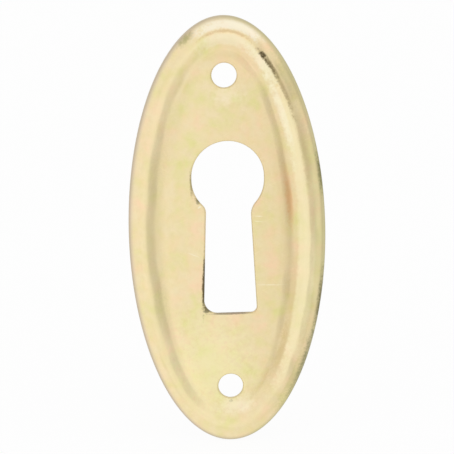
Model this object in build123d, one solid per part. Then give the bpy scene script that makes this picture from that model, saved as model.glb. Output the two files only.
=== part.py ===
import os
from math import ceil, radians

from build123d import *

# The oval plate. It stands upright with its back edge in the XZ plane, its
# face towards -Y and its long axis along Z.
plate_height = 44.45
plate_width = 20.2
sheet_thickness = 0.5

# The pressed rim, as its section runs inwards along the front of the sheet:
# a turned-down lip, a sloping flange, a climb to the bead, the bead's fall to
# the groove, and the shoulder up to the flat field.
lip_height = 1.0
flange_width = 1.12
flange_rise = 0.3
bead_climb_width = 0.5
bead_climb = 0.5
bead_fall_width = 1.45
bead_fall = 0.8
shoulder_width = 1.0
shoulder_rise = 0.4

# Inside radius of each bend of the sheet, in the same order.
lip_bend = 0.1
flange_bend = 0.3
bead_bend = 0.1
groove_bend = 0.7
shoulder_bend = 1.5

# The two holes for the fixing pins.
pin_hole_diameter = 2.55
pin_spacing = 32.5

# The keyhole, punched a little to the right of the plate's axis: a head slightly
# taller than round, over a slot that widens downwards.
keyhole_offset = 0.15
head_diameter = 7.41
head_stretch = 0.3
head_centre = 5.64
neck_centre = 1.75
neck_width = 4.62
slot_foot = -8.48
slot_foot_width = 5.48
left_neck_corner = 1.1
right_neck_corner = 1.9
left_foot_corner = 1.35
right_foot_corner = 0.6

# Eased edge that the punch leaves round each hole at the front.
punch_edge = 0.2

# Largest turn of one face round a bend, in degrees.
face_turn = 16

front = Plane.XZ

# The rim's section, drawn as the inset from the outline and the height above
# the back edge, with the flat field as its last stretch. A bend that stands out
# at the front is wider there by the thickness of the sheet.
flange_top = lip_height + flange_rise
crest = flange_width + bead_climb_width
crest_top = flange_top + bead_climb
groove = crest + bead_fall_width
groove_floor = crest_top - bead_fall
shoulder = groove + shoulder_width
field_height = groove_floor + shoulder_rise

front_section = FilletPolyline(
    (0, 0),
    (0, lip_height),
    (flange_width, flange_top),
    (crest, crest_top),
    (groove, groove_floor),
    (shoulder, field_height),
    (plate_width / 2, field_height),
    radius=[
        lip_bend + sheet_thickness,
        flange_bend,
        bead_bend + sheet_thickness,
        groove_bend,
        shoulder_bend + sheet_thickness,
    ],
).wire()
back_section = front_section.offset_2d(
    sheet_thickness, kind=Kind.TANGENT, side=Side.RIGHT, closed=False
)


def oval(point):
    """Wire round the plate at a point of the section."""
    ring = Ellipse(plate_width / 2 - point.X, plate_height / 2 - point.X)
    return (front.offset(point.Y) * ring).wire()


def skin(section):
    """Faces along a section, carried round the plate on concentric ovals."""
    *rim, field = section.edges().sort_by(Axis.X)
    faces = [Face(oval(field.vertices().sort_by(Axis.X)[0]))]
    for stretch in rim:
        bend = stretch.geom_type == GeomType.CIRCLE
        count = ceil(stretch.length / stretch.radius / radians(face_turn)) if bend else 1
        stations = (0, 0.5, 1) if bend else (0, 1)
        for index in range(count):
            ovals = [oval(stretch @ ((index + station) / count)) for station in stations]
            faces += Shell.make_loft(ovals, ruled=not bend).faces()
    return faces


back_edge = Face(oval(front_section @ 0), [oval(back_section @ 0)])
plate = Solid(Shell([back_edge] + skin(front_section) + skin(back_section)))


def corner(outline, side, place):
    """Corner of the keyhole on one side, counted upwards from the foot."""
    corners = outline.vertices().filter_by(lambda vertex: vertex.X * side > 0)
    return corners.sort_by(Axis.Y)[place]


# The keyhole's outline, with its neck and foot corners rounded.
flare = (slot_foot_width - neck_width) / (neck_centre - slot_foot)
slot_top_width = neck_width - flare * (head_centre - neck_centre)
slot = Polygon(
    (-slot_foot_width / 2, slot_foot),
    (slot_foot_width / 2, slot_foot),
    (slot_top_width / 2, head_centre),
    (-slot_top_width / 2, head_centre),
    align=None,
)
keyhole = slot + Pos(0, head_centre) * SlotCenterToCenter(head_stretch, head_diameter, rotation=90)
left, right = -1, 1
keyhole = fillet(corner(keyhole, left, 1), left_neck_corner)
keyhole = fillet(corner(keyhole, right, 1), right_neck_corner)
keyhole = fillet(corner(keyhole, left, 0), left_foot_corner)
keyhole = fillet(corner(keyhole, right, 0), right_foot_corner)

holes = Pos(keyhole_offset, 0) * keyhole + Locations(
    (0, pin_spacing / 2),
    (0, -pin_spacing / 2),
) * Circle(pin_hole_diameter / 2)

# What the punches take out: straight through the sheet, and at the front the
# eased edge that they draw in, as in a flat blank of the same sheet.
blank_back = front.offset(field_height - sheet_thickness)
blank = extrude(blank_back * Rectangle(2 * plate_width, 2 * plate_height), sheet_thickness)
pierced = blank - extrude(blank_back * holes, sheet_thickness)
blank_front = pierced.faces().sort_by(Axis.Y)[0]
hole_edges = [edge for wire in blank_front.inner_wires() for edge in wire.edges()]
pierced = chamfer(hole_edges, punch_edge)
plate = plate - extrude(front * holes, crest_top) - (blank - pierced)

os.makedirs("parts", exist_ok=True)
export_step(plate, "parts/escutcheon_plate.step")
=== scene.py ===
import bpy
import bmesh
from math import atan2, cos, exp, pi, radians, sin, sqrt, tan
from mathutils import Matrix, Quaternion, Vector


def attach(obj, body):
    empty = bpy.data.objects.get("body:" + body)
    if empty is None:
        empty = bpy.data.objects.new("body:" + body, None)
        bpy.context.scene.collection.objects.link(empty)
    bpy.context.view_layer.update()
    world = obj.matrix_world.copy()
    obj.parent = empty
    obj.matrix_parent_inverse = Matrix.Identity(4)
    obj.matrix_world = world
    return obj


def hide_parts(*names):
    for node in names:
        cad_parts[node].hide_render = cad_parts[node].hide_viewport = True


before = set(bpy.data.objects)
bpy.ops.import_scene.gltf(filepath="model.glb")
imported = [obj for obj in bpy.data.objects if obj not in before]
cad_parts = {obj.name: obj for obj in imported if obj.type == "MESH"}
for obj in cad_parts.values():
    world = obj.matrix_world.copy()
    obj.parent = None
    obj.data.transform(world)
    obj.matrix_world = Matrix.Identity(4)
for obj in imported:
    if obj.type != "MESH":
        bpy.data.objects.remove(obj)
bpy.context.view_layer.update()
mm = 0.001  # sizes below are in millimetres, the scene is in metres
print("frame loaded")


def toLinear(hexText):
    parts = [int(hexText[i:i + 2], 16) / 255 for i in (1, 3, 5)]
    return [p / 12.92 if p <= 0.04045 else ((p + 0.055) / 1.055) ** 2.4 for p in parts] + [1.0]


def addNode(tree, kind, inputs=None, **settings):
    node = tree.nodes.new(kind)
    for name, value in settings.items():
        setattr(node, name, value)
    for key, value in (inputs or {}).items():
        if isinstance(value, bpy.types.NodeSocket):
            tree.links.new(value, node.inputs[key])
        else:
            node.inputs[key].default_value = value
    return node


def clearSelection():
    if bpy.context.object and bpy.context.object.mode != "OBJECT":
        bpy.ops.object.mode_set(mode="OBJECT")
    bpy.ops.object.select_all(action="DESELECT")


def selectOnly(obj):
    clearSelection()
    obj.select_set(True)
    bpy.context.view_layer.objects.active = obj


def applyModifier(obj, kind, **settings):
    selectOnly(obj)
    bpy.ops.object.modifier_add(type=kind)
    modifier = obj.modifiers[-1]
    for name, value in settings.items():
        setattr(modifier, name, value)
    bpy.ops.object.modifier_apply(modifier=modifier.name)


# the pressed plate: an oval sheet with a lip, a flange, a bead, a groove and a flat field
plate = {
    "height": 44.45,
    "width": 20.2,
    "sheet": 0.5,
    "lip": 1.0,
    "flangeWidth": 1.12,
    "flangeRise": 0.3,
    "climbWidth": 0.5,
    "climb": 0.5,
    "fallWidth": 1.45,
    "fall": 0.8,
    "shoulderWidth": 1.0,
    "shoulderRise": 0.4,
    "lipBend": 0.65,  # radii at the front of the sheet
    "flangeBend": 0.3,
    "beadBend": 0.72,
    "grooveBend": 0.7,
    "shoulderBend": 2.0,
    "lipEnd": 0.5,  # how far in the lip's bend is over
    "ringVertices": 256,
    "bendSteps": 24,
    "ringStep": 0.09,  # distance between rings along the section
    "softening": 0.22,  # how far along the sheet the press blurs its bends
    "softeningRings": 12,  # rings on each side that count
    "softeningStart": 0.5,  # the blur sets in over this width after the lip
    "trimmedEdge": 0.08,  # the lip's edges at the seat
    "pressShift": -0.12,  # the press sat this far to the side of the trimming die
    "shiftStart": 0.8,  # the shift sets in over this width after the lip
    "rimFade": 1.0,  # shift and waves die away over this width towards the field
    "waveSpan": (0.6, 4.3),  # slow waves in the rim, where the sheet drew in unevenly
    "waveStart": 0.7,  # they set in over this width
    "waveLength": 2.6,
    "waveHeight": 0.24,  # between the farthest shifts one way and the other
    "waveRest": 0.4,  # noise level that leaves the sheet where it is
    "dentInset": 1.5,  # long nick in the outer side of the bead, at the upper right
    "dentSpan": (15.6, 18.7),
    "dentDepth": 0.09,
    "dentReach": 0.4,
    "wallTop": 0.8,  # below this height the lip counts as its outer wall
    "sharpAngle": 60,  # edges that turn by more are bevelled
    "smoothAngle": 35,
}

# what the punches cut out of the field
punch = {
    "pinDiameter": 2.55,
    "pinSpacing": 32.5,
    "pinSteps": 96,
    "keyholeOffset": 0.15,  # the keyhole sits a little right of the axis
    "headDiameter": 7.41,
    "headStretch": 0.3,  # the head is a little taller than round
    "headCentre": 5.64,
    "neckCentre": 1.75,
    "neckWidth": 4.62,
    "slotFoot": -8.48,
    "slotFootWidth": 5.48,
    "leftNeckCorner": 1.1,
    "rightNeckCorner": 1.9,
    "leftFootCorner": 1.35,
    "rightFootCorner": 0.6,
    "rolledEdge": 0.24,  # soft edge drawn in at the front
    "backEdge": 0.04,
    "arcSteps": 12,
    "toolFront": 3,  # the punches start this far in front of the seat
    "toolLength": 4,
}


def arcPoints(centre, radius, startAngle, endAngle, steps):
    angles = [startAngle + (endAngle - startAngle) * step / steps for step in range(steps + 1)]
    return [Vector((centre[0] + radius * cos(a), centre[1] + radius * sin(a))) for a in angles]


def plateSection():
    # inset from the outline and height above the seat, as the front of the sheet runs inwards
    flange = (plate["flangeWidth"], plate["lip"] + plate["flangeRise"])
    crest = (flange[0] + plate["climbWidth"], flange[1] + plate["climb"])
    groove = (crest[0] + plate["fallWidth"], crest[1] - plate["fall"])
    shoulder = (groove[0] + plate["shoulderWidth"], groove[1] + plate["shoulderRise"])
    field = (plate["width"] / 2, shoulder[1])
    corners = [Vector(p) for p in ((0, 0), (0, plate["lip"]), flange, crest, groove, shoulder, field)]
    radii = [plate[bend + "Bend"] for bend in ("lip", "flange", "bead", "groove", "shoulder")]
    points = [corners[0]]
    for before, corner, after, radius in zip(corners, corners[1:], corners[2:], radii):
        inward = (corner - before).normalized()
        onward = (after - corner).normalized()
        turn = inward.angle_signed(onward)  # positive turns down, towards the seat
        hand = 1 if turn > 0 else -1
        start = corner - inward * radius * tan(abs(turn) / 2)
        centre = start + Vector((inward.y, -inward.x)) * hand * radius
        startAngle = atan2(start.y - centre.y, start.x - centre.x)
        points += arcPoints(centre, radius, startAngle, startAngle - turn, plate["bendSteps"])
    return softSection(points)


def softSection(points):
    # even steps along the section, each a weighted mean of its neighbours; the lip keeps its own bend
    stations = [0.0]
    for last, point in zip(points, points[1:]):
        stations.append(stations[-1] + (point - last).length)
    count = int(stations[-1] / plate["ringStep"])
    even = []
    for index in range(count + 1):
        station = stations[-1] * index / count
        leg = max(i for i in range(len(points) - 1) if stations[i] <= station)
        share = (station - stations[leg]) / (stations[leg + 1] - stations[leg])
        even.append(points[leg].lerp(points[leg + 1], share))
    soft = []
    for index, point in enumerate(even):
        reach = min(index, count - index, plate["softeningRings"])
        around = range(index - reach, index + reach + 1)
        weights = [exp(-((i - index) * plate["ringStep"] / plate["softening"]) ** 2 / 2) for i in around]
        mean = sum((even[i] * w for i, w in zip(around, weights)), Vector((0, 0))) / sum(weights)
        blend = min(1, max(0, (point.x - plate["lipEnd"]) / plate["softeningStart"]))
        soft.append(point.lerp(mean, blend))
    return soft


def rimShare(inset, start, width, end):
    # grows to one over a width from the start, and dies away before the end
    return max(0, min(1, (inset - start) / width, (end - inset) / plate["rimFade"]))


def waveRim(obj, section):
    # the lip and the field stay as they are
    count = plate["ringVertices"]
    start, end = plate["waveSpan"]
    rim = obj.vertex_groups.new(name="rim")
    for ring, point in enumerate(section):
        share = rimShare(point.x, start, plate["waveStart"], end)
        rim.add(list(range(ring * count, (ring + 1) * count)), share, "REPLACE")
    waves = bpy.data.textures.new("pressWaves", "CLOUDS")
    waves.noise_scale = plate["waveLength"] * mm
    waves.noise_depth = 0
    waves.cloud_type = "COLOR"  # its three channels shift the sheet three ways
    applyModifier(obj, "DISPLACE", texture=waves, texture_coords="LOCAL", direction="RGB_TO_XYZ",
                  mid_level=plate["waveRest"], strength=plate["waveHeight"] * mm, vertex_group="rim")
    bpy.data.textures.remove(waves)
    obj.vertex_groups.clear()


def dentBead(obj, section):
    # the nick reaches less far than the sheet is thick, so the back keeps its shape
    count = plate["ringVertices"]
    bpy.ops.object.mode_set(mode="EDIT")
    bpy.ops.mesh.select_mode(type="VERT")
    bpy.ops.mesh.select_all(action="DESELECT")
    shape = bmesh.from_edit_mesh(obj.data)
    shape.verts.ensure_lookup_table()
    ring = min(range(len(section)), key=lambda i: abs(section[i].x - plate["dentInset"]))
    low, high = plate["dentSpan"]
    for vertex in shape.verts[ring * count:(ring + 1) * count]:
        vertex.select_set(vertex.co.x > 0 and low * mm < vertex.co.z < high * mm)
    bmesh.update_edit_mesh(obj.data)
    bpy.ops.transform.translate(value=(0, plate["dentDepth"] * mm, 0),
                                use_proportional_edit=True, proportional_edit_falloff="SMOOTH",
                                proportional_size=plate["dentReach"] * mm)
    bpy.ops.object.mode_set(mode="OBJECT")


def makePlate():
    section = plateSection()
    halfWidth = plate["width"] / 2
    halfHeight = plate["height"] / 2
    clearSelection()
    bpy.ops.mesh.primitive_circle_add(vertices=plate["ringVertices"], radius=1, rotation=(pi / 2, 0, 0))
    obj = bpy.context.object
    obj.name = "pressedPlate"
    bpy.ops.object.transform_apply(location=True, rotation=True, scale=True)
    bpy.ops.object.mode_set(mode="EDIT")
    bpy.ops.mesh.select_all(action="SELECT")
    bpy.ops.transform.resize(value=(halfWidth * mm, 1, halfHeight * mm), center_override=(0, 0, 0))
    shares = [rimShare(p.x, plate["lipEnd"], plate["shiftStart"], section[-1].x) for p in section]
    shifts = [plate["pressShift"] * share for share in shares]
    for last, point, lastShift, shift in zip(section, section[1:], shifts, shifts[1:]):
        wide = (halfWidth - point.x) / (halfWidth - last.x)
        high = (halfHeight - point.x) / (halfHeight - last.x)
        bpy.ops.mesh.extrude_edges_move()
        bpy.ops.transform.resize(value=(wide, 1, high), center_override=(lastShift * mm, 0, 0))
        bpy.ops.transform.translate(value=((shift - lastShift) * mm, -(point.y - last.y) * mm, 0))
    bpy.ops.mesh.edge_face_add()  # the flat field, still whole
    bpy.ops.mesh.select_all(action="SELECT")
    bpy.ops.mesh.normals_make_consistent(inside=False)
    bpy.ops.object.mode_set(mode="OBJECT")
    waveRim(obj, section)
    bpy.ops.object.material_slot_add()  # for the front
    bpy.ops.object.material_slot_add()  # for the back and the trimmed edge
    applyModifier(obj, "SOLIDIFY", thickness=plate["sheet"] * mm, offset=-1, use_even_offset=True,
                  material_offset=1, material_offset_rim=1)
    dentBead(obj, section)
    return obj, section[-1].y


def keyholeOutline():
    # half the slot is x = neck + lean * z, and each corner is an arc that touches its two neighbours
    lean = (punch["slotFootWidth"] - punch["neckWidth"]) / 2 / (punch["slotFoot"] - punch["neckCentre"])
    neck = punch["neckWidth"] / 2 - lean * punch["neckCentre"]
    slant = sqrt(1 + lean ** 2)
    sideAngle = atan2(-lean, 1)  # square to the slot's right side
    steps = punch["arcSteps"]

    headRadius = punch["headDiameter"] / 2
    headTop = punch["headCentre"] + punch["headStretch"] / 2
    headLow = punch["headCentre"] - punch["headStretch"] / 2

    def side(footCorner, neckCorner):
        # the neck's arc is centred as far from the head's centre as both radii together
        out = neck + neckCorner * slant
        half = headLow - lean * out
        spare = headLow ** 2 + out ** 2 - (headRadius + neckCorner) ** 2
        neckZ = (half - sqrt(half ** 2 - slant ** 2 * spare)) / slant ** 2
        neckX = out + lean * neckZ
        headAngle = atan2(neckZ - headLow, neckX)
        footZ = punch["slotFoot"] + footCorner
        footX = neck + lean * footZ - footCorner * slant
        points = arcPoints((footX, footZ), footCorner, -pi / 2, sideAngle, steps)
        points += arcPoints((neckX, neckZ), neckCorner, sideAngle + pi, headAngle + pi, steps)
        points += arcPoints((0, headLow), headRadius, headAngle, 0, steps * 2)[1:]
        return points + arcPoints((0, headTop), headRadius, 0, pi / 2, steps * 3)

    right = side(punch["rightFootCorner"], punch["rightNeckCorner"])
    left = side(punch["leftFootCorner"], punch["leftNeckCorner"])
    left = [Vector((-p.x, p.y)) for p in reversed(left[:-1])]
    return [Vector((p.x + punch["keyholeOffset"], p.y)) for p in right + left]


def makePunch(outline, name):
    # a prism through the sheet: a disc whose vertices follow the outline, drawn back
    clearSelection()
    bpy.ops.mesh.primitive_circle_add(vertices=len(outline), radius=1, fill_type="NGON")
    obj = bpy.context.object
    obj.name = name
    for vertex, point in zip(obj.data.vertices, outline):
        vertex.co = (point.x * mm, -punch["toolFront"] * mm, point.y * mm)
    bpy.ops.object.mode_set(mode="EDIT")
    bpy.ops.mesh.select_all(action="SELECT")
    bpy.ops.mesh.extrude_region_move(TRANSFORM_OT_translate={"value": (0, punch["toolLength"] * mm, 0)})
    bpy.ops.mesh.select_all(action="SELECT")
    bpy.ops.mesh.normals_make_consistent(inside=False)
    bpy.ops.object.mode_set(mode="OBJECT")
    return obj


def cutHoles(obj):
    pinRadius = punch["pinDiameter"] / 2
    pinPlaces = (punch["pinSpacing"] / 2, -punch["pinSpacing"] / 2)
    outlines = [keyholeOutline()]
    outlines += [arcPoints((0, z), pinRadius, 0, 2 * pi, punch["pinSteps"])[:-1] for z in pinPlaces]
    for outline in outlines:
        tool = makePunch(outline, "punchTool")
        applyModifier(obj, "BOOLEAN", operation="DIFFERENCE", solver="EXACT", object=tool)
        bpy.data.objects.remove(tool)


def softenEdges(obj, height, width, segments):
    # bevel the sharp edges that lie at one height above the seat
    selectOnly(obj)
    bpy.ops.object.mode_set(mode="EDIT")
    bpy.ops.mesh.select_mode(type="EDGE")
    bpy.ops.mesh.select_all(action="DESELECT")
    shape = bmesh.from_edit_mesh(obj.data)
    nearby = 1e-6  # metres
    sharp = radians(plate["sharpAngle"])
    for edge in shape.edges:
        level = all(abs(v.co.y + height * mm) < nearby for v in edge.verts)
        edge.select_set(level and edge.is_manifold and edge.calc_face_angle() > sharp)
    bmesh.update_edit_mesh(obj.data)
    bpy.ops.mesh.bevel(offset=width * mm, segments=segments, profile=0.5, affect="EDGES",
                       clamp_overlap=False)
    bpy.ops.object.mode_set(mode="OBJECT")


def markInset(obj):
    # each vertex keeps how far in from the outline it lies, in millimetres, for marks that follow the rim;
    # down the lip's wall this runs on below nought
    halfWidth = plate["width"] / 2
    halfHeight = plate["height"] / 2
    halvings = 24
    inset = obj.data.attributes.new("inset", "FLOAT", "POINT")
    for vertex, mark in zip(obj.data.vertices, inset.data):
        x = abs(vertex.co.x) / mm
        z = abs(vertex.co.z) / mm
        low, high = 0.0, halfWidth - 0.01  # just short of the middle line
        for step in range(halvings):
            middle = (low + high) / 2
            inside = (x / (halfWidth - middle)) ** 2 + (z / (halfHeight - middle)) ** 2 < 1
            low, high = (middle, high) if inside else (low, middle)
        mark.value = low - max(0, plate["wallTop"] + vertex.co.y / mm)


plateObject, fieldHeight = makePlate()
print("plate rings", len(plateObject.data.vertices))
cutHoles(plateObject)
softenEdges(plateObject, fieldHeight, punch["rolledEdge"], segments=5)
softenEdges(plateObject, fieldHeight - plate["sheet"], punch["backEdge"], segments=2)
softenEdges(plateObject, 0, plate["trimmedEdge"], segments=3)
print("holes punched", len(plateObject.data.vertices))
selectOnly(plateObject)
bpy.ops.object.shade_smooth_by_angle(angle=radians(plate["smoothAngle"]))
applyModifier(plateObject, "WEIGHTED_NORMAL", keep_sharp=True, weight=80)
markInset(plateObject)

brass = {
    "pale": "#f2e1b7",
    "pink": "#f9dab4",
    "green": "#e8e09f",
    "dim": "#d9c594",
    "rightDim": "#f0ede4",  # darkens the metal towards the right
    "rightDimGrowth": (0.1, 0, 0.008),  # how much it darkens for each mm to the right, back and up
    "worn": "#fceebb",  # rubbed bright along the bead
    "crestInset": 1.75,  # where the bead is rubbed most
    "crestRagged": 0.6,
    "leftLip": "#d1c1ac",  # tint on the turned edge, partly tarnish and partly painted shade, pinkish here and olive on the right
    "rightLip": "#cdc698",
    # painted shade on the rolled edges of the holes
    "holeShade": "#d9c395",
    "fieldInset": 4.5,  # the holes lie farther in than this
    "cloudMm": 2.4,  # soft patches of lacquer and handling
    "patchMm": 1.3,
    "grainMm": 0.5,  # mottling of the rolled sheet
    "speckMm": 0.22,  # torn edges of stains
    "pressMm": 5.0,  # slow waves that the press leaves
    "pressBump": 6.0,  # their height, as a multiple of the grain's
    "bumpMm": 0.02,
    "waverMm": 0.16,  # how far the insets of a mark waver
    "roughness": 0.4,
}

# hairlines from handling: how they lean, and their length and width in mm; real ones are finer, and these
# are drawn as wide as they need to be to show
hairlines = [(66, 2.6, 0.07), (-58, 1.9, 0.06), (12, 1.5, 0.06)]
through = 1000  # stretches a pattern so far through the sheet, in mm, that it doesn't change there

# stains, rubbed spots, scratches, painted highlights and painted shade of this one plate: place and half size
# across and up the plate in mm, how far it leans, the insets from the outline that it keeps to, how softly it
# ends outwards and inwards of those and all round, its colour and strength, and how ragged it is
fieldMark = {"lean": 0, "inset": (4, 20), "fade": (0.2, 0.2)}  # where a mark doesn't say otherwise
brassMarksAndPaintedLight = [
    # painted highlight on the flange at the top
    {"at": (0.9, 21.0), "half": (5.6, 2.2), "inset": (0.5, 1.0), "fade": (0.35, 0.35),
     "soft": 0.7, "colour": "#fffbea", "strength": 0.6, "ragged": 0.5},
    # painted highlight along the bead on the right
    {"at": (7.0, 0.0), "half": (5.0, 22.0), "inset": (2.0, 2.6), "fade": (0.6, 0.4),
     "soft": 0.5, "colour": "#fdf5cb", "strength": 0.4, "ragged": 0.4},
    {"at": (3.9, 17.4), "half": (2.2, 3.6), "lean": -28, "inset": (2.0, 2.5), "fade": (0.35, 0.5),
     "soft": 0.9, "colour": "#fffbe2", "strength": 0.45, "ragged": 0.4},
    {"at": (5.9, 12.4), "half": (2.4, 7.0), "lean": -18, "inset": (2.5, 2.85), "fade": (0.4, 0.4),
     "soft": 0.9, "colour": "#fffbe2", "strength": 0.45, "ragged": 0.4},
    {"at": (8.3, -5.8), "half": (1.9, 9.5), "lean": 8, "inset": (1.15, 1.6), "fade": (0.25, 0.4),
     "soft": 0.9, "colour": "#fdf3c4", "strength": 0.5, "ragged": 0.4},
    # painted highlight on the bead at the top
    {"at": (0.5, 20.0), "half": (5.4, 2.6), "inset": (1.8, 2.6), "fade": (0.3, 0.4),
     "soft": 0.8, "colour": "#fff8dc", "strength": 0.4, "ragged": 0.4},
    # right flange: an olive tint, with painted shade where it faces away from the light
    {"at": (9.0, -0.5), "half": (2.2, 13.0), "inset": (0.3, 1.0), "fade": (0.3, 0.3),
     "soft": 0.9, "colour": "#dcdca2", "strength": 0.4, "ragged": 0.5},
    {"at": (6.7, 15.6), "half": (1.8, 4.5), "lean": -26, "inset": (0.3, 1.0), "fade": (0.3, 0.3),
     "soft": 0.9, "colour": "#bfb887", "strength": 0.42, "ragged": 0.6},
    {"at": (6.4, -15.8), "half": (1.8, 4.8), "lean": 25, "inset": (0.3, 0.9), "fade": (0.3, 0.4),
     "soft": 0.9, "colour": "#c3c07c", "strength": 0.45, "ragged": 0.6},
    # painted shade over the bead at the lower left
    {"at": (-6.4, -13.6), "half": (3.5, 9.5), "lean": -22, "inset": (1.2, 1.8), "fade": (0.4, 0.4),
     "soft": 0.9, "colour": "#e0d498", "strength": 0.24, "ragged": 0.5},
    # a dark line along the channel, darkest at the upper right
    {"at": (0.2, 20.6), "half": (4.2, 1.4), "inset": (1.36, 1.44), "fade": (0.16, 0.16),
     "soft": 0.8, "colour": "#b98a54", "strength": 0.3, "ragged": 1.0},
    {"at": (8.0, 9.0), "half": (1.6, 7.0), "lean": -15, "inset": (1.4, 1.65), "fade": (0.4, 0.3),
     "soft": 1.0, "colour": "#aa9b66", "strength": 0.24, "ragged": 0.5},
    {"at": (5.5, 15.4), "half": (1.4, 5.2), "lean": -30, "inset": (1.54, 1.66), "fade": (0.35, 0.22),
     "soft": 0.9, "colour": "#84703f", "strength": 0.48, "ragged": 0.7},
    {"at": (4.6, 17.4), "half": (0.85, 2.3), "lean": -31, "inset": (1.5, 1.72), "fade": (0.3, 0.25),
     "soft": 0.9, "colour": "#5e4f2e", "strength": 0.72, "ragged": 0.6},
    {"at": (4.05, 18.3), "half": (0.6, 1.0), "lean": -40, "inset": (1.46, 1.76), "fade": (0.3, 0.25),
     "soft": 1.0, "colour": "#3a311d", "strength": 0.75, "ragged": 0.8},
    # olive smudge at the upper left
    {"at": (-3.8, 20.0), "half": (0.6, 1.5), "lean": 46, "inset": (0.2, 0.8), "fade": (0.3, 0.4),
     "soft": 1.0, "colour": "#8f8f52", "strength": 0.6, "ragged": 0.5},
    # olive tarnish and painted shade on the right lip's wall
    {"at": (9.5, 5.9), "half": (1.2, 3.4), "inset": (-0.3, 0.1), "fade": (0.5, 0.4),
     "soft": 1.0, "colour": "#686636", "strength": 0.75, "ragged": 0.4},
    {"at": (9.2, -7.2), "half": (1.5, 5.0), "inset": (-0.3, 0.12), "fade": (0.5, 0.45),
     "soft": 1.0, "colour": "#5f5733", "strength": 0.8, "ragged": 0.4},
    {"at": (7.3, -13.8), "half": (1.5, 5.8), "lean": 24, "inset": (-0.2, 0.2), "fade": (0.5, 0.6),
     "soft": 1.0, "colour": "#7c7d5e", "strength": 0.65, "ragged": 0.5},
    # painted shade in the left groove
    {"at": (-6.8, 0.4), "half": (4.2, 16.0), "inset": (2.0, 2.8), "fade": (0.55, 1.2),
     "soft": 0.9, "colour": "#c6bb8a", "strength": 0.31, "ragged": 0.4},
    {"at": (-5.2, 11.5), "half": (2.6, 9.5), "lean": 18, "inset": (2.9, 3.9), "fade": (0.6, 0.7),
     "soft": 1.0, "colour": "#cdbf8e", "strength": 0.18, "ragged": 0.4},
    {"at": (-6.1, -9.6), "half": (2.0, 7.0), "lean": -14, "inset": (2.65, 3.0), "fade": (0.4, 0.5),
     "soft": 0.9, "colour": "#cdbf8e", "strength": 0.26, "ragged": 0.4},
    # painted shade along the right shoulder, around a warm stain in the right groove
    {"at": (6.0, 3.4), "half": (2.4, 12.8), "inset": (3.7, 4.1), "fade": (0.5, 0.9),
     "soft": 0.9, "colour": "#d0b684", "strength": 0.28, "ragged": 0.35},
    # the warm stain itself
    {"at": (6.2, 4.8), "half": (1.1, 5.6), "lean": -8, "inset": (3.55, 3.85), "fade": (0.35, 0.6),
     "soft": 0.9, "colour": "#cfa066", "strength": 0.2, "ragged": 0.4},
    {"at": (6.4, 3.1), "half": (0.9, 4.0), "lean": -5, "inset": (3.4, 3.7), "fade": (0.35, 0.5),
     "soft": 0.9, "colour": "#da9550", "strength": 0.36, "ragged": 0.4},
    # painted shade in the right groove below the stain
    {"at": (6.5, -7.0), "half": (1.7, 7.5), "lean": 9, "inset": (3.0, 3.25), "fade": (0.35, 0.5),
     "soft": 1.0, "colour": "#c9aa76", "strength": 0.3, "ragged": 0.4},
    {"at": (5.2, -12.9), "half": (1.9, 5.2), "lean": 24, "inset": (2.85, 3.2), "fade": (0.3, 0.5),
     "soft": 1.0, "colour": "#c0a96f", "strength": 0.45, "ragged": 0.4},
    # darker band along the groove and shoulder at the top
    {"at": (0.6, 18.0), "half": (4.5, 1.5), "inset": (3.4, 4.2), "fade": (0.5, 0.4),
     "soft": 1.0, "colour": "#d6bd84", "strength": 0.2, "ragged": 0.4},
    # darker along the slot's left edge and foot, and up past the neck
    {"at": (-2.5, -5.4), "half": (0.3, 3.7), "lean": 2.4,
     "soft": 0.6, "colour": "#54482e", "strength": 0.9, "ragged": 0.5},
    {"at": (-2.25, -8.0), "half": (0.6, 0.65),
     "soft": 0.6, "colour": "#4c4230", "strength": 0.8, "ragged": 0.5},
    {"at": (0.1, -8.53), "half": (2.8, 0.15),
     "soft": 0.6, "colour": "#84776c", "strength": 0.7, "ragged": 0.3},
    {"at": (-3.0, 3.35), "half": (0.28, 0.5), "lean": -35,
     "soft": 0.9, "colour": "#65653c", "strength": 0.7, "ragged": 0.5},
    {"at": (-3.6, 5.0), "half": (0.22, 1.7), "lean": -3,
     "soft": 0.8, "colour": "#857a4e", "strength": 0.5, "ragged": 0.6},
    # nick under the lower pin hole
    {"at": (0.0, -17.8), "half": (0.3, 0.2), "lean": -15,
     "soft": 0.7, "colour": "#6c5f3e", "strength": 0.6, "ragged": 0.8},
    # paler below the pin holes, and towards the lower left
    {"at": (0.3, 14.2), "half": (2.4, 1.5),
     "soft": 1.0, "colour": "#fff4da", "strength": 0.35, "ragged": 0.5},
    {"at": (0.7, -18.4), "half": (3.0, 1.6), "inset": (3, 20), "fade": (0.6, 0.2),
     "soft": 1.0, "colour": "#fff4da", "strength": 0.55, "ragged": 0.5},
    {"at": (-2.2, -14.0), "half": (6.0, 7.5), "inset": (2, 20), "fade": (1.0, 0.2),
     "soft": 1.0, "colour": "#f5efb5", "strength": 0.5, "ragged": 0.6},
    # a painted highlight at the left neck corner, then scratches beside the neck and the slot
    {"at": (-2.8, 2.75), "half": (0.35, 0.14), "lean": -30,
     "soft": 0.8, "colour": "#fffae4", "strength": 0.6, "ragged": 0.5},
    {"at": (3.15, 1.65), "half": (0.8, 0.08), "lean": 5,
     "soft": 0.8, "colour": "#fff6da", "strength": 0.55, "ragged": 0.5},
    {"at": (3.2, 1.1), "half": (0.6, 0.07), "lean": 7,
     "soft": 0.8, "colour": "#fff6da", "strength": 0.45, "ragged": 0.5},
    {"at": (4.6, -5.6), "half": (2.1, 0.07), "lean": 2, "inset": (2, 20),
     "soft": 0.9, "colour": "#fff6da", "strength": 0.5, "ragged": 0.7},
    {"at": (-3.6, -2.2), "half": (1.2, 0.07), "lean": 24,
     "soft": 0.9, "colour": "#fff6da", "strength": 0.45, "ragged": 0.7},
]


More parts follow.
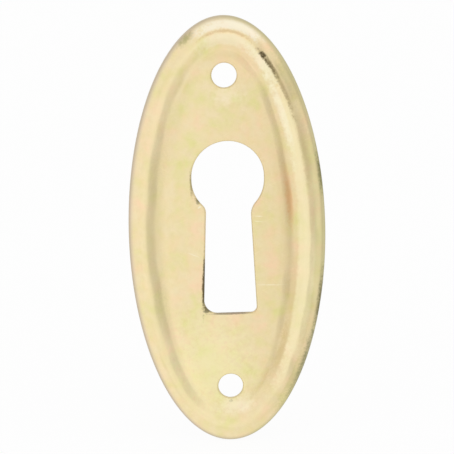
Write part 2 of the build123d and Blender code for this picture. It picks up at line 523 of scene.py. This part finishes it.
def startMetal(name):
    # bare metal, with the place on the plate in mm and the inset from its outline to work from
    material = bpy.data.materials.new(name)
    material.use_nodes = True
    tree = material.node_tree
    shader = tree.nodes["Principled BSDF"]
    shader.inputs["Metallic"].default_value = 1.0
    coords = addNode(tree, "ShaderNodeTexCoord").outputs["Object"]
    place = addNode(tree, "ShaderNodeVectorMath", {0: coords, "Scale": 1 / mm}, operation="SCALE").outputs[0]
    inset = addNode(tree, "ShaderNodeAttribute", attribute_name="inset").outputs["Fac"]
    return material, shader, place, inset


def drawHairlines(tree, place, metal, colour, edges, strength):
    # each direction is a noise drawn out along it, of which only the peaks show
    for lean, length, width in hairlines:
        along = addNode(tree, "ShaderNodeMapping", {
            "Vector": place, "Rotation": (0, radians(lean), 0), "Scale": (width, through, length)},
            vector_type="TEXTURE").outputs[0]
        hair = addNode(tree, "ShaderNodeTexNoise", {
            "Vector": along, "Scale": 1.0, "Detail": 1}).outputs["Fac"]
        factor = addNode(tree, "ShaderNodeMapRange", {
            "Value": hair, "From Min": edges[0], "From Max": edges[1], "To Max": strength}).outputs["Result"]
        metal = addNode(tree, "ShaderNodeMix", {"Factor": factor, "A": metal, "B": toLinear(colour)},
                        data_type="RGBA").outputs["Result"]
    return metal


def makeBrass():
    # pressed brass sheet, softly polished and lacquered: a pale metal with blurred reflections and light
    # tarnish
    material, shader, place, inset = startMetal("pressedBrass")
    tree = material.node_tree
    axes = addNode(tree, "ShaderNodeSeparateXYZ", {0: place}).outputs
    details = {"cloud": 4, "patch": 2, "grain": 2, "speck": 2, "press": 1}
    cloud, patch, grain, speck, press = [
        addNode(tree, "ShaderNodeTexNoise", {
            "Vector": place, "Scale": 1 / brass[name + "Mm"], "Detail": detail}).outputs["Fac"]
        for name, detail in details.items()]

    # mottled metal, made darker towards the right and a little upwards
    factor = addNode(tree, "ShaderNodeMapRange", {
        "Value": cloud, "From Min": 0.36, "From Max": 0.64}).outputs["Result"]
    metal = addNode(tree, "ShaderNodeMix", {
        "Factor": factor, "A": toLinear(brass["pink"]), "B": toLinear(brass["green"])},
        data_type="RGBA").outputs["Result"]
    factor = addNode(tree, "ShaderNodeMapRange", {
        "Value": patch, "From Min": 0.3, "From Max": 0.7}).outputs["Result"]
    metal = addNode(tree, "ShaderNodeMix", {"Factor": factor, "A": metal, "B": toLinear(brass["pale"])},
                    data_type="RGBA").outputs["Result"]
    factor = addNode(tree, "ShaderNodeMapRange", {
        "Value": grain, "From Min": 0.45, "From Max": 0.8, "To Max": 0.18}).outputs["Result"]
    metal = addNode(tree, "ShaderNodeMix", {"Factor": factor, "A": metal, "B": toLinear(brass["dim"])},
                    data_type="RGBA").outputs["Result"]
    rightward = addNode(tree, "ShaderNodeVectorMath", {0: place, 1: brass["rightDimGrowth"]},
                        operation="DOT_PRODUCT").outputs["Value"]
    factor = addNode(tree, "ShaderNodeMapRange", {
        "Value": rightward, "From Min": -0.2, "From Max": 1.0, "To Max": 0.7}).outputs["Result"]
    metal = addNode(tree, "ShaderNodeMix", {"Factor": factor, "A": metal, "B": toLinear(brass["rightDim"])},
                    data_type="RGBA", blend_type="MULTIPLY").outputs["Result"]

    # fine hairlines, brighter than the metal round them
    metal = drawHairlines(tree, place, metal, brass["worn"], edges=(0.64, 0.76), strength=0.35)

    # the bead's crest is rubbed bright; the turned lip keeps a thin tint that is partly tarnish and partly
    # painted shade, and the rolled edges of the holes get painted shade
    offCrest = addNode(tree, "ShaderNodeMath", {0: inset, 1: brass["crestInset"]},
                       operation="SUBTRACT").outputs[0]
    offCrest = addNode(tree, "ShaderNodeMath", {0: offCrest}, operation="ABSOLUTE").outputs[0]
    rubbed = addNode(tree, "ShaderNodeMath", {0: cloud, 1: brass["crestRagged"], 2: offCrest},
                     operation="MULTIPLY_ADD").outputs[0]
    factor = addNode(tree, "ShaderNodeMapRange", {
        "Value": rubbed, "From Min": 0.3, "From Max": 1.1, "To Min": 0.25, "To Max": 0.0},
        interpolation_type="SMOOTHSTEP").outputs["Result"]
    metal = addNode(tree, "ShaderNodeMix", {"Factor": factor, "A": metal, "B": toLinear(brass["worn"])},
                    data_type="RGBA").outputs["Result"]
    # the turned lip: a tint that is partly tarnish and partly painted shade
    side = addNode(tree, "ShaderNodeMapRange", {
        "Value": axes["X"], "From Min": -3.0, "From Max": 4.0}).outputs["Result"]
    lip = addNode(tree, "ShaderNodeMix", {
        "Factor": side, "A": toLinear(brass["leftLip"]), "B": toLinear(brass["rightLip"])},
        data_type="RGBA").outputs["Result"]
    factor = addNode(tree, "ShaderNodeMapRange", {
        "Value": inset, "From Min": 0.05, "From Max": 0.6, "To Min": 0.75, "To Max": 0.0},
        interpolation_type="SMOOTHSTEP").outputs["Result"]
    metal = addNode(tree, "ShaderNodeMix", {"Factor": factor, "A": metal, "B": lip},
                    data_type="RGBA").outputs["Result"]
    # painted shade on the rolled edges and walls of the holes
    depth = addNode(tree, "ShaderNodeMath", {0: axes["Y"], 1: fieldHeight}, operation="ADD").outputs[0]
    holeShadeFactor = addNode(tree, "ShaderNodeMapRange", {
        "Value": depth, "From Min": 0.01, "From Max": 0.2, "To Max": 0.5}).outputs["Result"]
    inside = addNode(tree, "ShaderNodeMath", {0: inset, 1: brass["fieldInset"]},
                     operation="GREATER_THAN").outputs[0]
    factor = addNode(tree, "ShaderNodeMath", {0: holeShadeFactor, 1: inside}, operation="MULTIPLY").outputs[0]
    metal = addNode(tree, "ShaderNodeMix", {"Factor": factor, "A": metal, "B": toLinear(brass["holeShade"])},
                    data_type="RGBA").outputs["Result"]

    # each mark fades out round its place and keeps to its own insets, both torn by the same noise
    tear = addNode(tree, "ShaderNodeMath", {0: grain, 1: speck}, operation="ADD").outputs[0]
    tear = addNode(tree, "ShaderNodeMapRange", {
        "Value": tear, "From Min": 0.7, "From Max": 1.3, "To Min": -0.5, "To Max": 0.5}).outputs["Result"]
    wavering = addNode(tree, "ShaderNodeMath", {0: tear, 1: brass["waverMm"], 2: inset},
                       operation="MULTIPLY_ADD").outputs[0]
    for given in brassMarksAndPaintedLight:
        mark = {**fieldMark, **given}
        right, up = mark["at"]
        halfWide, halfHigh = mark["half"]
        low, high = mark["inset"]
        outwards, inwards = mark["fade"]
        local = addNode(tree, "ShaderNodeMapping", {
            "Vector": place, "Location": (right, 0, up), "Rotation": (0, radians(mark["lean"]), 0),
            "Scale": (halfWide, through, halfHigh)}, vector_type="TEXTURE").outputs[0]
        reach = addNode(tree, "ShaderNodeVectorMath", {0: local}, operation="LENGTH").outputs["Value"]
        torn = addNode(tree, "ShaderNodeMath", {0: tear, 1: mark["ragged"], 2: reach},
                       operation="MULTIPLY_ADD").outputs[0]
        spot = addNode(tree, "ShaderNodeMapRange", {
            "Value": torn, "From Min": 1 - mark["soft"], "From Max": 1.0,
            "To Min": mark["strength"], "To Max": 0.0}, interpolation_type="SMOOTHSTEP").outputs["Result"]
        rise = addNode(tree, "ShaderNodeMapRange", {
            "Value": wavering, "From Min": low - outwards, "From Max": low},
            interpolation_type="SMOOTHSTEP").outputs["Result"]
        fall = addNode(tree, "ShaderNodeMapRange", {
            "Value": wavering, "From Min": high, "From Max": high + inwards, "To Min": 1.0, "To Max": 0.0},
            interpolation_type="SMOOTHSTEP").outputs["Result"]
        band = addNode(tree, "ShaderNodeMath", {0: rise, 1: fall}, operation="MULTIPLY").outputs[0]
        factor = addNode(tree, "ShaderNodeMath", {0: spot, 1: band}, operation="MULTIPLY").outputs[0]
        metal = addNode(tree, "ShaderNodeMix", {"Factor": factor, "A": metal, "B": toLinear(mark["colour"])},
                        data_type="RGBA").outputs["Result"]
    tree.links.new(metal, shader.inputs["Base Color"])

    rough = addNode(tree, "ShaderNodeMapRange", {
        "Value": cloud, "From Min": 0.3, "From Max": 0.7,
        "To Min": brass["roughness"] - 0.04, "To Max": brass["roughness"] + 0.05}).outputs["Result"]
    tree.links.new(rough, shader.inputs["Roughness"])
    relief = addNode(tree, "ShaderNodeMath", {0: press, 1: brass["pressBump"], 2: grain},
                     operation="MULTIPLY_ADD").outputs[0]
    bump = addNode(tree, "ShaderNodeBump", {
        "Height": relief, "Distance": brass["bumpMm"] * mm, "Strength": 0.5}).outputs["Normal"]
    tree.links.new(bump, shader.inputs["Normal"])
    return material


rawBrass = {
    "metal": "#c9b07a",
    "brown": "#a08552",
    "stain": "#7d6840",
    "scraped": "#dcc590",
    "scrapedRagged": 0.5,
    "cloudMm": 4.5,
    "grainMm": 0.35,
    "bumpMm": 0.02,
    "roughness": 0.5,
}


def makeRawBrass():
    # back of the sheet: unpolished brass, browned by the wood that it lies against
    material, shader, place, inset = startMetal("rawBrass")
    tree = material.node_tree
    cloud = addNode(tree, "ShaderNodeTexNoise", {
        "Vector": place, "Scale": 1 / rawBrass["cloudMm"], "Detail": 5}).outputs["Fac"]
    grain = addNode(tree, "ShaderNodeTexNoise", {
        "Vector": place, "Scale": 1 / rawBrass["grainMm"], "Detail": 3}).outputs["Fac"]
    factor = addNode(tree, "ShaderNodeMapRange", {
        "Value": cloud, "From Min": 0.35, "From Max": 0.7}).outputs["Result"]
    metal = addNode(tree, "ShaderNodeMix", {
        "Factor": factor, "A": toLinear(rawBrass["metal"]), "B": toLinear(rawBrass["brown"])},
        data_type="RGBA").outputs["Result"]

    # grime settles in the hollow under the bead
    hollow = addNode(tree, "ShaderNodeMapRange", {
        "Value": inset, "From Min": 1.0, "From Max": 2.6, "To Min": 0.7, "To Max": 0.0},
        interpolation_type="SMOOTHSTEP").outputs["Result"]
    factor = addNode(tree, "ShaderNodeMath", {0: hollow, 1: grain}, operation="MULTIPLY").outputs[0]
    metal = addNode(tree, "ShaderNodeMix", {"Factor": factor, "A": metal, "B": toLinear(rawBrass["stain"])},
                    data_type="RGBA").outputs["Result"]

    # scratches, and the trimmed edge scraped bare in places
    metal = drawHairlines(tree, place, metal, rawBrass["scraped"], edges=(0.6, 0.74), strength=0.5)
    depth = addNode(tree, "ShaderNodeSeparateXYZ", {0: place}).outputs["Y"]
    patchy = addNode(tree, "ShaderNodeMath", {0: cloud, 1: -rawBrass["scrapedRagged"], 2: depth},
                     operation="MULTIPLY_ADD").outputs[0]
    factor = addNode(tree, "ShaderNodeMapRange", {
        "Value": patchy, "From Min": -0.45, "From Max": -0.15, "To Max": 0.8}).outputs["Result"]
    metal = addNode(tree, "ShaderNodeMix", {"Factor": factor, "A": metal, "B": toLinear(rawBrass["scraped"])},
                    data_type="RGBA").outputs["Result"]
    tree.links.new(metal, shader.inputs["Base Color"])

    rough = addNode(tree, "ShaderNodeMapRange", {
        "Value": cloud, "To Min": rawBrass["roughness"] - 0.08,
        "To Max": rawBrass["roughness"] + 0.12}).outputs["Result"]
    tree.links.new(rough, shader.inputs["Roughness"])
    bump = addNode(tree, "ShaderNodeBump", {
        "Height": grain, "Distance": rawBrass["bumpMm"] * mm, "Strength": 0.4}).outputs["Normal"]
    tree.links.new(bump, shader.inputs["Normal"])
    return material


plateObject.data.materials[0] = makeBrass()
plateObject.data.materials[1] = makeRawBrass()
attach(plateObject, "root")
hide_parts("escutcheon_plate")
print("brass made")

# the camera stands a little above and left of the plate, on a long lens
view = {
    "lens": 200.0,
    "sensor": 36.0,
    "azimuth": -2.0,
    "elevation": 12.0,
    "roll": -1.25,
    "pictureWidth": 46.64,  # what 454 px span at the plate
    "aimRight": -0.01,
    "aimUp": 0.37,
    "aimForward": 0.3,  # out of the seat, towards the face
}


def makeCamera():
    turn = radians(view["azimuth"])
    tilt = radians(view["elevation"])
    back = Vector((sin(turn) * cos(tilt), -cos(turn) * cos(tilt), sin(tilt)))
    facing = (-back).to_track_quat("-Z", "Y") @ Quaternion((0, 0, 1), radians(view["roll"]))
    right = facing @ Vector((1, 0, 0))
    up = facing @ Vector((0, 1, 0))
    aim = Vector((0, -view["aimForward"], 0)) + right * view["aimRight"] + up * view["aimUp"]
    bpy.ops.object.camera_add()
    camera = bpy.context.object
    camera.data.lens = view["lens"]
    camera.data.sensor_width = view["sensor"]
    camera.data.clip_start = 0.01
    camera.rotation_mode = "QUATERNION"
    camera.rotation_quaternion = facing
    camera.location = (aim + back * view["pictureWidth"] * view["lens"] / view["sensor"]) * mm
    bpy.context.scene.camera = camera


makeCamera()
print("camera set")

studio = {
    "roomLight": 1.01,
    "darkSide": (0.85, -0.5, -0.12),  # the way to the room's darker side, right of the camera
    "darkLight": 0.72,
    "darkEdge": 0.82,  # how near to that way it begins, as a cosine
    "brightSide": (-0.7, -0.5, -0.5),
    "brightLight": 1.07,
    "brightEdge": 0.74,
    "behindLight": 0.8,
    "floorSize": 3000,
    "floorColour": "#f2f2f2",
    "floorGlow": 0.93,
    "lampPlace": (93, -327, 87),
    "lampPower": 0.011,
    "lampSize": 150,
}


def makeStudio():
    scene = bpy.context.scene
    scene.view_settings.view_transform = "Standard"
    world = bpy.data.worlds.new("studioWorld")
    scene.world = world
    world.use_nodes = True
    tree = world.node_tree
    background = tree.nodes["Background"]
    background.inputs["Color"].default_value = (1, 1, 1, 1)
    towards = addNode(tree, "ShaderNodeTexCoord").outputs["Generated"]
    room = studio["roomLight"]
    for side in ("dark", "bright"):
        way = Vector(studio[side + "Side"]).normalized()
        aside = addNode(tree, "ShaderNodeVectorMath", {0: towards, 1: way},
                        operation="DOT_PRODUCT").outputs["Value"]
        share = addNode(tree, "ShaderNodeMapRange", {
            "Value": aside, "From Min": studio[side + "Edge"], "From Max": 1.0},
            interpolation_type="SMOOTHSTEP").outputs["Result"]
        room = addNode(tree, "ShaderNodeMix", {
            "Factor": share, "A": room, "B": studio[side + "Light"]}).outputs["Result"]
    behind = addNode(tree, "ShaderNodeSeparateXYZ", {0: towards}).outputs["Y"]
    far = addNode(tree, "ShaderNodeMapRange", {
        "Value": behind, "From Min": -0.1, "From Max": 0.5,
        "To Min": 1.0, "To Max": studio["behindLight"]}).outputs["Result"]
    room = addNode(tree, "ShaderNodeMath", {0: room, 1: far}, operation="MULTIPLY").outputs[0]
    seen = addNode(tree, "ShaderNodeLightPath").outputs["Is Camera Ray"]
    level = addNode(tree, "ShaderNodeMix", {"Factor": seen, "A": room, "B": 1.0}).outputs["Result"]
    tree.links.new(level, background.inputs["Strength"])

    # white floor: bright to the eye, and it still takes a soft shadow
    clearSelection()
    bpy.ops.mesh.primitive_plane_add(size=studio["floorSize"] * mm,
                                     location=(0, 0, -plate["height"] / 2 * mm))
    floor = bpy.context.object
    floor.name = "studioFloor"
    material = bpy.data.materials.new("whiteFloor")
    material.use_nodes = True
    tree = material.node_tree
    shader = tree.nodes["Principled BSDF"]
    shader.inputs["Base Color"].default_value = toLinear(studio["floorColour"])
    shader.inputs["Roughness"].default_value = 0.9
    seen = addNode(tree, "ShaderNodeLightPath").outputs["Is Camera Ray"]
    share = addNode(tree, "ShaderNodeMath", {0: seen, 1: studio["floorGlow"]},
                    operation="MULTIPLY").outputs[0]
    glow = addNode(tree, "ShaderNodeEmission", {"Color": (1, 1, 1, 1), "Strength": 1.0}).outputs[0]
    mix = addNode(tree, "ShaderNodeMixShader", {0: share, 1: shader.outputs[0], 2: glow}).outputs[0]
    tree.links.new(mix, tree.nodes["Material Output"].inputs["Surface"])
    floor.data.materials.append(material)
    floor.visible_glossy = False  # the metal shows the white room instead

    # small soft lamp beside the camera
    place = Vector(studio["lampPlace"]) * mm
    bpy.ops.object.light_add(type="AREA", location=place)
    lamp = bpy.context.object
    lamp.data.shape = "DISK"
    lamp.data.size = studio["lampSize"] * mm
    lamp.data.energy = studio["lampPower"]
    lamp.rotation_mode = "QUATERNION"
    lamp.rotation_quaternion = (-place).to_track_quat("-Z", "Y")


makeStudio()
print("studio set")
